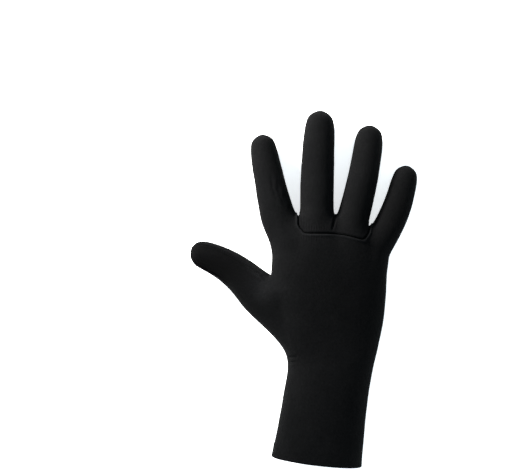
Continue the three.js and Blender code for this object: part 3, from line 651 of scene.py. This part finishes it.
def relief(skin, on_knuckle):
    """Height of the sheet's surface over the smooth skin."""
    height = np.zeros(len(skin.points))
    for kind, (lip, groove) in SEAM_RELIEF.items():
        away = distances[kind]
        lips = np.where(on_knuckle, INNER_LIP * lip, lip) if kind == "knuckle" else lip
        height += lips * bell(away, LIP_PLACE, LIP_WIDTH) - groove * bell(away, 0, GROOVE_WIDTH)
    up = np.clip((skin.normals[:, 2] - 0.05) / 0.3, 0, 1)
    xy = skin.points[:, :2]
    for line, depth, width, raised in CREASES:
        line = [plan(*point) for point in line]
        height -= depth * up * crease_depth(xy, line, width, raised)
    band = bell(distances["knuckle"], RIB_FROM_SEAM, RIB_BAND) * up
    across = bell(xy[:, 0] - fingers[1].root.x, -RIB_ASIDE, RIB_SPREAD)
    ahead = xy[:, 1] > PALM_LENGTH * 0.85 - 3
    height += np.where(ahead, RIB_HEIGHT * band * across * rib_wave(xy[:, 0]), 0)
    swell = np.linalg.norm(xy - np.array(plan(*SWELL_PLACE)), axis=1) / SWELL_RADIUS
    height += SWELL_HEIGHT * up * np.exp(-swell ** 2)
    lumps = np.array([noise.noise(Vector(p) / LUMP_SIZE) + 0.5 * noise.noise(Vector(p) / (LUMP_SIZE / 2))
                      for p in skin.points])
    return height + LUMP_HEIGHT * lumps


def tones_of(skin, on_knuckle):
    """Share of the cloth's tone at each point, all of it painted light and shade: soft spots of painted highlight
    and shade, a painted highlight on the knuckle seam's lip, ribs painted lighter on their crests and darker
    between, and painted shade and highlight along the stitched lines.
    """
    tones = np.ones(len(skin.points))
    xy = skin.points[:, :2]
    # soft spots of painted highlight and painted shade
    for place, radius, share in PAINTED_LIGHT_SPOTS:
        away = np.linalg.norm(xy - np.array(plan(*place)), axis=1) / (radius * CAMERA_HEIGHT / FOCAL)
        tones *= 1 + (share - 1) * np.exp(-away ** 2)
    beside = distances["knuckle"]
    # painted highlight on the back panel's lip beside the knuckle seam
    tones *= 1 + np.where(on_knuckle, 0.0, RIM_HIGHLIGHT * bell(beside, RIM_PLACE, RIM_WIDTH))
    ribs = RIB_TONE * bell(beside, RIB_TONE_FROM_SEAM, RIB_BAND)
    ribs = ribs * bell(xy[:, 0] - fingers[1].root.x, -RIB_ASIDE, RIB_SPREAD)
    # stitched lines and gathers: painted shade along the middle, painted highlight on the lit side
    for line in (*THUMB_LINES, *GATHERS):
        line = [plan(*point) for point in line]
        painted_stitch_shading = -STITCH_SHADE * crease_depth(xy, line, 0.6, 0)
        painted_stitch_shading += STITCH_HIGHLIGHT * crease_depth(xy + STITCH_LIT_SIDE, line, 0.5, 0)
        tones *= 1 + painted_stitch_shading
    # the ribs are painted lighter on their crests and darker between them, in step with their relief
    tones *= 1 + np.where(on_knuckle, ribs * rib_wave(xy[:, 0]), 0.0)
    facing_up = np.clip(skin.normals[:, 2] * 1.5 + 0.5, 0, 1)
    return 1 + (tones - 1) * facing_up


on_knuckle = np.zeros(len(fine.points), dtype=bool)
on_knuckle[np.unique(fine.quads[fine.panels == KNUCKLE])] = True
lift = relief(fine, on_knuckle)
tones = tones_of(fine, on_knuckle)
outer = fine.points + fine.normals * lift[:, None]
PRINT_REST = 0.35  # the prints lift the palm side off the floor, ahead of the wrist
rest = PRINT_REST * np.array([smoothstep((y + 4) / 14) for y in fine.points[:, 1]])
outer[:, 2] = np.maximum(outer[:, 2], rest)
inner = coarse.points - coarse.normals * WALL
low = coarse.points[:, 2] < WALL
inner[low, 2] = np.maximum(inner[low, 2], WALL)

# ---------------- panels
HALF_SEAM = 0.05
UNDER_SEAM = -0.8  # under the surface the edges press into each other, as a share of the half seam
HEM_ROUND = 0.3
SHOULDER_DROP = 0.8
EDGE_FOOT = 0.5  # from the edge's foot to the lining, and the least height over the floor
to_fine = tree_of(fine.points)


def inward_of(skin, numbers):
    """Boundary edges of a panel, and the direction into the panel at each of their points."""
    table = edges_of(skin.quads[numbers])
    border, inward = [], {}
    for key, sides in table.items():
        if len(sides) > 1:
            continue
        _, a, b = sides[0]
        along = skin.points[b] - skin.points[a]
        is_hem = len(skin.edges[key]) == 1
        border.append((a, b, is_hem))
        for end in (a, b):
            direction = np.cross(skin.normals[end], along)
            direction /= np.linalg.norm(direction)
            inward.setdefault(end, []).append(direction * (0.0 if is_hem else HALF_SEAM))
    return border, {end: sum(both) / len(both) for end, both in inward.items()}


def build_panel(panel):
    """Outer skin, rounded seam lips, cut edge and lining of one panel, as one closed mesh."""
    verts, polys, slots, uvs, loose, painted_light_and_shade = [], [], [], [], [], []
    outside, inside = {}, {}
    numbers = np.where(fine.panels == panel)[0]
    border, inward = inward_of(fine, numbers)

    def vertex(position, seam, tone=1.0):
        verts.append(position)
        loose.append(seam)
        painted_light_and_shade.append(tone)
        return len(verts) - 1

    nearest = np.minimum(np.minimum(distances["knuckle"], distances["side"]), distances["thumb"])
    for quad, uv in zip(fine.quads[numbers].tolist(), fine.uvs[numbers]):
        for corner in quad:
            if corner not in outside:
                moved = outer[corner] + inward.get(corner, 0)
                outside[corner] = vertex(moved, nearest[corner], tones[corner])
        polys.append([outside[corner] for corner in quad])
        slots.append(0)
        uvs.extend(uv.tolist())
    coarse_numbers = np.where(coarse.panels == panel)[0]
    coarse_border, coarse_inward = inward_of(coarse, coarse_numbers)
    for quad, uv in zip(coarse.quads[coarse_numbers].tolist(), coarse.uvs[coarse_numbers]):
        for corner in quad:
            if corner not in inside:
                inside[corner] = vertex(inner[corner] + coarse_inward.get(corner, 0) * UNDER_SEAM, REACH)
        polys.append([inside[corner] for corner in reversed(quad)])
        slots.append(1)
        uvs.extend(uv.tolist()[::-1])

    # the cut edge: a rounded shoulder, then the foam down to the lining
    shoulder, foot = {}, {}
    hem_points = {end for a, b, is_hem in border if is_hem for end in (a, b)}
    for end in {end for a, b, _ in border for end in (a, b)}:
        base = outer[end] + inward.get(end, 0)
        normal = fine.normals[end]
        drop = min(SHOULDER_DROP, max(0.0, lift[end] + 2.0)) if end not in hem_points else HEM_ROUND
        below = fine.points[end] - normal * (WALL - EDGE_FOOT) + inward.get(end, 0) * UNDER_SEAM
        below[2] = max(below[2], EDGE_FOOT)
        if end in hem_points:
            verts[outside[end]] = base - hem_normal * HEM_ROUND
            shoulder[end] = vertex(base - normal * drop, REACH)
        else:
            shoulder[end] = vertex(base - normal * drop, 0.0)
        foot[end] = vertex(below, REACH if end in hem_points else 0.0)
    for a, b, is_hem in border:
        for upper, lower in ((outside, shoulder), (shoulder, foot)):
            polys.append([upper[b], upper[a], lower[a], lower[b]])
            slots.append(2 if is_hem or upper is shoulder else 0)
            uvs.extend([(0, 0)] * 4)
    following = {a: b for a, b, _ in border}
    for a, b, _ in coarse_border:
        start = to_fine.find(coarse.points[a])[1]
        middle = following[start]
        end = following[middle]
        polys.append([foot[end], foot[middle], foot[start], inside[a], inside[b]])
        slots.append(2)
        uvs.extend([(0, 0)] * 5)

    name = PANEL_NODES[panel] + "_sheet"
    mesh = bpy.data.meshes.new(name)
    placed = (np.array(verts) + shift) * MM
    mesh.from_pydata(placed.tolist(), [], polys)
    mesh.polygons.foreach_set("material_index", slots)
    mesh.polygons.foreach_set("use_smooth", [True] * len(polys))
    layer = mesh.uv_layers.new(name="UVMap")
    layer.data.foreach_set("uv", np.array(uvs, dtype=float).ravel())
    # the tone attribute carries the painted light and shade into the material
    for key, values in (("seam", loose), ("tone", painted_light_and_shade)):
        mesh.attributes.new(key, "FLOAT", "POINT").data.foreach_set("value", values)
    mesh.update()
    return new_object(name, mesh)


# ---------------- materials
class Nodes:
    """Short names for building a material's nodes."""

    def __init__(self, name):
        self.material = bpy.data.materials.new(name)
        self.material.use_nodes = True
        self.tree = self.material.node_tree
        self.shader = self.tree.nodes["Principled BSDF"]

    def add(self, kind, **settings):
        node = self.tree.nodes.new(kind)
        for key, value in settings.items():
            if key in node.inputs:
                node.inputs[key].default_value = value
            else:
                setattr(node, key, value)
        return node

    def link(self, source, target):
        self.tree.links.new(source, target)

    def feed(self, socket, value):
        """Set a socket to a number or colour, or link it to another node's output."""
        if isinstance(value, (int, float)):
            socket.default_value = value
        elif isinstance(value, tuple):
            socket.default_value = (*value, 1)
        elif value is not None:
            self.link(value, socket)

    def math(self, operation, a, b=None, c=None):
        node = self.add("ShaderNodeMath", operation=operation)
        for socket, value in zip(node.inputs, (a, b, c)):
            self.feed(socket, value)
        return node.outputs[0]

    def ramp(self, factor, stops):
        node = self.add("ShaderNodeValToRGB")
        elements = node.color_ramp.elements
        while len(elements) < len(stops):
            elements.new(0.5)
        for element, (position, color) in zip(elements, stops):
            element.position = position
            element.color = (*color, 1)
        self.link(factor, node.inputs[0])
        return node.outputs[0]

    def mix(self, factor, a, b, blend="MIX"):
        node = self.add("ShaderNodeMix", data_type="RGBA", blend_type=blend)
        for socket, value in ((0, factor), (6, a), (7, b)):
            self.feed(node.inputs[socket], value)
        return node.outputs[2]

    def noise(self, vector, scale, detail=3.0, roughness=0.5):
        node = self.add("ShaderNodeTexNoise", Scale=scale, Detail=detail, Roughness=roughness)
        self.link(vector, node.inputs["Vector"])
        return node.outputs["Fac"]

    def scaled(self, source, factor, offset):
        return self.math("ADD", self.math("MULTIPLY", source, factor), offset)

    def saw(self, source):
        """From 0.5 down to 0 and back in each unit."""
        return self.math("ABSOLUTE", self.math("SUBTRACT", self.math("FRACT", source), 0.5))

    def bump(self, height, strength, depth, under=None):
        node = self.add("ShaderNodeBump", Strength=strength, Distance=depth * MM)
        self.feed(node.inputs["Height"], height)
        self.feed(node.inputs["Normal"], under)
        return node.outputs[0]

    def finish(self, colour, roughness, specular, normal=None):
        sockets = ("Base Color", "Roughness", "Specular IOR Level", "Normal")
        for socket, value in zip(sockets, (colour, roughness, specular, normal)):
            self.feed(self.shader.inputs[socket], value)
        return self.material


def grey(value):
    return (value, value, value)


WALE_WIDTH, COURSE_HEIGHT = 0.62, 0.5  # of the knit's stitches
GROOVE_SHADE = 0.55  # how far from a seam its groove stays dark
RIBS_PER_MM = 0.8  # of the lining


def neoprene(name, dark, light, knit_depth):
    """Nylon jersey bonded on foam: fine V-shaped stitches, faint mottling, painted shade in the seam grooves, and
    the painted highlights and shade of the tone attribute.
    """
    n = Nodes(name)
    coordinates = n.add("ShaderNodeTexCoord")
    place = coordinates.outputs["Object"]
    split = n.add("ShaderNodeSeparateXYZ")
    n.link(coordinates.outputs["UV"], split.inputs[0])
    wobble = n.noise(place, 900.0, 1.0)
    u = n.math("ADD", n.math("MULTIPLY", split.outputs[0], 1 / WALE_WIDTH), n.math("MULTIPLY", wobble, 0.5))
    wale = n.math("MULTIPLY", n.saw(u), 2.0)
    v = n.math("ADD", n.math("MULTIPLY", split.outputs[1], 1 / COURSE_HEIGHT), n.math("MULTIPLY", wale, 0.5))
    course = n.math("MULTIPLY", n.saw(v), 2.0)
    rounded = n.math("SUBTRACT", 1.0, n.math("POWER", course, 2.0))
    valley = n.math("SUBTRACT", 1.0, n.math("POWER", wale, 4.0))
    knit = n.math("MULTIPLY", rounded, valley)
    broad = n.noise(place, 55.0, 4.0, 0.6)
    grain = n.noise(place, 1500.0, 2.0, 0.7)
    seam = n.add("ShaderNodeAttribute", attribute_name="seam")
    groove = n.math("SMOOTH_MIN", n.math("DIVIDE", seam.outputs["Fac"], GROOVE_SHADE), 1.0, 0.3)
    tone = n.mix(knit, dark, light)
    patchy = n.ramp(broad, [(0.3, (0.72, 0.72, 0.74)), (0.7, (1.25, 1.22, 1.2))])
    tone = n.mix(1.0, tone, patchy, "MULTIPLY")
    fleck = n.ramp(grain, [(0.35, grey(0.8)), (0.7, grey(1.2))])
    tone = n.mix(1.0, tone, fleck, "MULTIPLY")
    mottle = n.ramp(n.noise(place, 620.0, 2.0, 0.6), [(0.3, grey(0.78)), (0.7, grey(1.24))])
    tone = n.mix(1.0, tone, mottle, "MULTIPLY")
    # painted highlights and shade from the tone attribute, multiplied into the colour
    painted_light_and_shade = n.add("ShaderNodeAttribute", attribute_name="tone")
    scaled = n.add("ShaderNodeVectorMath", operation="SCALE")
    n.link(tone, scaled.inputs[0])
    n.link(painted_light_and_shade.outputs["Fac"], scaled.inputs["Scale"])
    # painted shade: near a seam the colour goes nearly black, in its groove
    tone = n.mix(groove, grey(0.0004), scaled.outputs[0])
    uneven = n.bump(n.noise(place, 260.0, 3.0, 0.6), 1.0, 0.25)
    return n.finish(tone, n.scaled(broad, 0.12, 0.84), 0.03, n.bump(knit, 1.0, knit_depth, uneven))


def foam(name):
    """Cut edge of the sheet: closed cells between two layers of jersey."""
    n = Nodes(name)
    place = n.add("ShaderNodeTexCoord").outputs["Object"]
    cells = n.add("ShaderNodeTexVoronoi", Scale=2600.0)
    n.link(place, cells.inputs["Vector"])
    wall = cells.outputs["Distance"]
    tone = n.ramp(wall, [(0.1, (0.004, 0.004, 0.0045)), (0.6, (0.014, 0.014, 0.015))])
    return n.finish(tone, n.scaled(wall, 0.2, 0.72), 0.3, n.bump(wall, 0.7, 0.12))


def lining(name):
    """Ribbed jersey inside the glove."""
    n = Nodes(name)
    split = n.add("ShaderNodeSeparateXYZ")
    n.link(n.add("ShaderNodeTexCoord").outputs["UV"], split.inputs[0])
    rib = n.saw(n.math("MULTIPLY", split.outputs[0], RIBS_PER_MM))
    tone = n.ramp(n.math("MULTIPLY", rib, 2.0), [(0.1, (0.012, 0.012, 0.013)), (0.8, (0.028, 0.028, 0.03))])
    return n.finish(tone, 0.9, 0.2, n.bump(rib, 0.8, 0.3))


def silicone(name):
    """Printed grip: grey silicone, its tone a little uneven."""
    n = Nodes(name)
    place = n.add("ShaderNodeTexCoord").outputs["Object"]
    broad = n.noise(place, 120.0, 3.0)
    grain = n.noise(place, 2400.0, 2.0, 0.7)
    tone = n.ramp(broad, [(0.3, (0.030, 0.030, 0.031)), (0.7, (0.046, 0.046, 0.047))])
    return n.finish(tone, n.scaled(grain, 0.25, 0.36), 0.25, n.bump(grain, 0.5, 0.06))


back_cloth = neoprene("back_neoprene", grey(0.0009), (0.0028, 0.0030, 0.0032), 0.1)
palm_cloth = neoprene("palm_neoprene", grey(0.0012), (0.0037, 0.0039, 0.0041), 0.12)
cut_foam = foam("cut_foam")
inner_cloth = lining("lining_jersey")
print_rubber = silicone("grip_print")

for panel, cloth in ((BACK, back_cloth), (KNUCKLE, back_cloth), (PALM, palm_cloth)):
    obj = build_panel(panel)
    for material in (cloth, inner_cloth, cut_foam):
        obj.data.materials.append(material)
    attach(obj, "root")
    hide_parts(PANEL_NODES[panel])

# ---------------- printed grips
under_skin = BVHTree.FromPolygons(outer.tolist(), fine.quads[fine.panels == PALM].tolist())


def project(x, y):
    """Skin point and normal straight above a point under the palm."""
    place, normal, _, _ = under_skin.ray_cast(Vector((x, y, -40)), Vector((0, 0, 1)))
    if place is None:
        place, normal, _, _ = under_skin.find_nearest(Vector((x, y, 5)))
    return place, normal


PRINT_LOWEST = 0.02


class Print:
    """Raised print, collected as one mesh."""

    def __init__(self):
        self.verts, self.polys = [], []

    def vertex(self, x, y, height):
        place, normal = project(x, y)
        if normal.z > 0:
            normal = -normal
        point = place + normal * height
        point.z = max(point.z, PRINT_LOWEST)
        self.verts.append(point)
        return len(self.verts) - 1

    def finish(self, name, node=None):
        mesh = bpy.data.meshes.new(name)
        placed = (np.array([tuple(v) for v in self.verts]) + shift) * MM
        mesh.from_pydata(placed.tolist(), [], self.polys)
        mesh.polygons.foreach_set("use_smooth", [False] * len(self.polys))
        mesh.materials.append(print_rubber)
        mesh.update()
        obj = new_object(name, mesh)
        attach(obj, "root")
        if node:
            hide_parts(node)
        return obj


# the lattice of the finger patches: steps from slot to slot, and each slot's length, width and turn
STEP_ACROSS, STEP_ALONG = Vector((3.3, 0.5)), Vector((1.65, 2.3))
SLOT_LENGTH, SLOT_WIDTH, SLOT_TURN = 2.6, 1.0, 36.0
SLOT_SHAPE = [(0.5, 0), (0.36, 0.42), (0, 0.5), (-0.36, 0.42), (-0.5, 0), (-0.36, -0.42), (0, -0.5), (0.36, -0.42)]
SLOT_CHAMFER, SLOT_CHAMFER_DEPTH = 1.12, 0.14
PRINT_FOOT, PRINT_HEIGHT = -0.1, 0.62
PAD_CORNER, PAD_CORNER_CUT, PAD_SIDE, PAD_END = 3.0, 1.5, 0.9, 1.0
LATTICE_REACH = 8


def pad(finger, patch):
    """A printed pad: a lattice whose slots are open, on one finger between two shares of its length."""
    _, start, end, width_share = patch
    begin, finish = start * finger.length, end * finger.length
    half_width = width_share * finger.width / 2
    print_mesh = Print()
    turn = math.radians(SLOT_TURN)
    slot_x, slot_y = Vector((math.cos(turn), math.sin(turn))), Vector((-math.sin(turn), math.cos(turn)))
    grid = {}

    def place(across, along, height):
        centre, _, _, right = finger.frame(along)
        return print_mesh.vertex(centre.x + right.x * across, centre.y + right.y * across, height)

    def shared(across, along, height):
        key = (round(across, 2), round(along, 2), height)
        if key not in grid:
            grid[key] = place(across, along, height)
        return grid[key]

    middle = (begin + finish) / 2
    to_middle = Vector((0, middle))
    cells = []
    for i in range(-LATTICE_REACH, LATTICE_REACH + 1):
        for j in range(-LATTICE_REACH, LATTICE_REACH + 1):
            centre = STEP_ACROSS * i + STEP_ALONG * j
            along_edge = (finish - begin) / 2 - abs(centre.y)
            room = half_width - PAD_CORNER_CUT * max(0.0, 1 - along_edge / PAD_CORNER)
            if abs(centre.x) <= room - PAD_SIDE and along_edge >= PAD_END:
                cells.append(centre)
    keys = {(round(c.x, 2), round(c.y, 2)) for c in cells}
    a, b = STEP_ACROSS / 2, STEP_ALONG / 2
    rim = [a, a + b, b, b - a, -a, -a - b, -b, a - b]
    sides = ((7, 0, a), (0, 1, a), (1, 2, b), (2, 3, b), (3, 4, -a), (4, 5, -a), (5, 6, -b), (6, 7, -b))
    for centre in cells:
        outer_loop = [centre + r for r in rim]
        slot_loop = [slot_x * (sx * SLOT_LENGTH) + slot_y * (sy * SLOT_WIDTH) for sx, sy in SLOT_SHAPE]
        # start the slot's loop at the rim's first point
        first = min(range(8), key=lambda k: (slot_loop[k].normalized() - rim[0].normalized()).length)
        slot_loop = [slot_loop[(first + k) % 8] for k in range(8)]
        top = [shared(p.x, p.y + middle, PRINT_HEIGHT) for p in outer_loop]
        lip = [place(*(centre + s * SLOT_CHAMFER + to_middle), PRINT_HEIGHT) for s in slot_loop]
        wall = [place(*(centre + s + to_middle), PRINT_HEIGHT - SLOT_CHAMFER_DEPTH) for s in slot_loop]
        foot = [place(*(centre + s + to_middle), PRINT_FOOT) for s in slot_loop]
        for k in range(8):
            m = (k + 1) % 8
            for one, two in ((top, lip), (lip, wall), (wall, foot)):
                print_mesh.polys.append([one[k], two[k], two[m], one[m]])
        for k, m, across_side in sides:
            beyond = centre + across_side * 2
            if (round(beyond.x, 2), round(beyond.y, 2)) in keys:
                continue
            low = [place(outer_loop[q].x, outer_loop[q].y + middle, PRINT_FOOT) for q in (k, m)]
            print_mesh.polys.append([top[m], low[1], low[0], top[k]])
    return print_mesh


for finger in (*fingers, thumb):
    for patch in THUMB_PADS if finger is thumb else FINGER_PADS:
        node = f"grip_{finger.name}_{patch[0]}"
        pad(finger, patch).finish(node + "_print", node)

# dashes of the palm: strips of three, each dash falling towards the little finger
DASH_LENGTH, DASH_WIDTH, DASH_HEIGHT, DASH_FALL = 5.0, 1.05, 0.34, -17.0
DASH_STEP, STRIP_STEP, ROW_STEP = 5.2, 17.1, 4.35
DASH_STATIONS = 6
DASH_PROFILE = ((-1, -0.12), (-0.8, 0.62), (0, 1), (0.8, 0.62), (1, -0.12))  # across, height
FIRST_ROW, ROWS, FIRST_DASH = 104, 24, 4.5
PRINT_LEFT, PRINT_RIGHT = -37.5, 35.5
UNDER_ROOTS = 5.5
HEEL_LINE = ([-40, -25, 0, 36], [30, 20, 14, 12])  # lower edge of the print: x, y
WORN_SHARE = 0.06
DASH_WAVE, WAVE_STRETCH = 0.45, 0.7
THUMB_ROWS_OF_DASHES, THUMB_FIRST_ROW = 9, 9
dashes = Print()


def dash(x, y, turn, length=DASH_LENGTH, wave=0.0):
    """A rounded bar along a short line, standing on the palm."""
    direction = Vector((math.cos(turn), math.sin(turn)))
    beside = Vector((-direction.y, direction.x))
    stations = []
    for step in range(DASH_STATIONS + 1):
        share = step / DASH_STATIONS
        end_round = math.sqrt(max(0.0, 1 - (2 * share - 1) ** 6))
        bend = wave * math.sin(2 * math.pi * share)
        centre = Vector((x, y)) + direction * ((share - 0.5) * length) + beside * bend
        half = DASH_WIDTH / 2 * max(0.35, end_round)
        ring = []
        for across, height in DASH_PROFILE:
            spot = centre + beside * (across * half)
            lifted = DASH_HEIGHT * height * (1 if height < 0 else max(0.3, end_round))
            ring.append(dashes.vertex(spot.x, spot.y, lifted))
        stations.append(ring)
    for one, two in zip(stations, stations[1:]):
        for k in range(len(DASH_PROFILE) - 1):
            dashes.polys.append([one[k], one[k + 1], two[k + 1], two[k]])
    dashes.polys.append(stations[0][::-1])
    dashes.polys.append(stations[-1])


def palm_outline(x):
    """Lowest and highest place of the print across the palm."""
    top = float(np.interp(x, [f.root.x for f in fingers], [f.root.y for f in fingers])) - UNDER_ROOTS
    return float(np.interp(x, *HEEL_LINE)), top


turn = math.radians(DASH_FALL)
for row in range(ROWS):
    y_row = FIRST_ROW - row * ROW_STEP
    for strip in range(-3, 3):
        for k in range(3):
            x = strip * STRIP_STEP + k * DASH_STEP + FIRST_DASH
            y = y_row + (0.5 if k == 1 else 0) + 0.35 * math.sin(row * 1.7 + strip)
            bottom, top = palm_outline(x)
            if not PRINT_LEFT < x < PRINT_RIGHT or not bottom < y < top:
                continue
            if random.random() < WORN_SHARE:
                continue
            wavy = smoothstep((x - 12) / 16) * smoothstep((70 - y) / 25)
            dash(x, y, turn * (1 - 0.6 * wavy), DASH_LENGTH + WAVE_STRETCH * wavy, DASH_WAVE * wavy)
for row in range(THUMB_ROWS_OF_DASHES):
    centre, _, _, right = thumb.frame(THUMB_FIRST_ROW + row * ROW_STEP)
    for k in range(-2, 3):
        spot = centre + right * (k * DASH_STEP)
        if spot.x > PRINT_LEFT or (abs(k) == 2 and row > 4):
            continue
        dash(spot.x, spot.y, math.atan2(right.y, right.x) + turn * 0.7)
dashes.finish("palm_dashes")

# ---------------- stage, light and camera
FLOOR_Z, FLOOR_HALF = -0.2 * MM, 3.0
corner_signs = ((-1, -1), (1, -1), (1, 1), (-1, 1))
floor_mesh = bpy.data.meshes.new("floor")
floor_mesh.from_pydata([(x * FLOOR_HALF, y * FLOOR_HALF, FLOOR_Z) for x, y in corner_signs], [], [(0, 1, 2, 3)])
floor = new_object("floor", floor_mesh)
floor_nodes = Nodes("floor_paper")
floor_nodes.feed(floor_nodes.shader.inputs["Emission Color"], grey(1))
floor_nodes.feed(floor_nodes.shader.inputs["Emission Strength"], 0.6)
floor_mesh.materials.append(floor_nodes.finish(grey(0.93), 0.95, 0.1))

LIGHT_PLACE, LIGHT_COLOUR = (-0.83, 0.69, 0.39), (1.0, 0.965, 0.95)
WORLD_COLOUR, WORLD_STRENGTH = (0.86, 1, 1.08), 1.1


def add_light(name, kind, power, target, **settings):
    """A light at the upper left of the photo, turned to a target."""
    data = bpy.data.lights.new(name, kind)
    data.energy = power
    data.color = LIGHT_COLOUR
    for key, value in settings.items():
        setattr(data, key, value)
    obj = new_object(name, data)
    obj.location = LIGHT_PLACE
    obj.rotation_euler = (Vector(target) - Vector(LIGHT_PLACE)).to_track_quat("-Z", "Y").to_euler()


add_light("key", "AREA", 22, (0, 0, 0), shape="DISK", size=0.5)
add_light("spot", "SPOT", 295, (0.02, 0.11, 0), spot_size=math.radians(27), spot_blend=1.0, shadow_soft_size=0.12)
world = bpy.data.worlds.new("studio")
world.use_nodes = True
background = world.node_tree.nodes["Background"]
background.inputs["Color"].default_value = (*WORLD_COLOUR, 1)
background.inputs["Strength"].default_value = WORLD_STRENGTH
bpy.context.scene.world = world
bpy.context.scene.view_settings.view_transform = "Standard"

SENSOR_WIDTH = 36
camera_data = bpy.data.cameras.new("camera")
camera_data.sensor_width = SENSOR_WIDTH
camera_data.sensor_fit = "HORIZONTAL"
camera_data.lens = FOCAL / IMAGE_WIDTH * SENSOR_WIDTH
camera = new_object("camera", camera_data)
camera.location = ((CAMERA_X + shift[0]) * MM, (CAMERA_Y + shift[1]) * MM, CAMERA_HEIGHT * MM)
bpy.context.scene.camera = camera
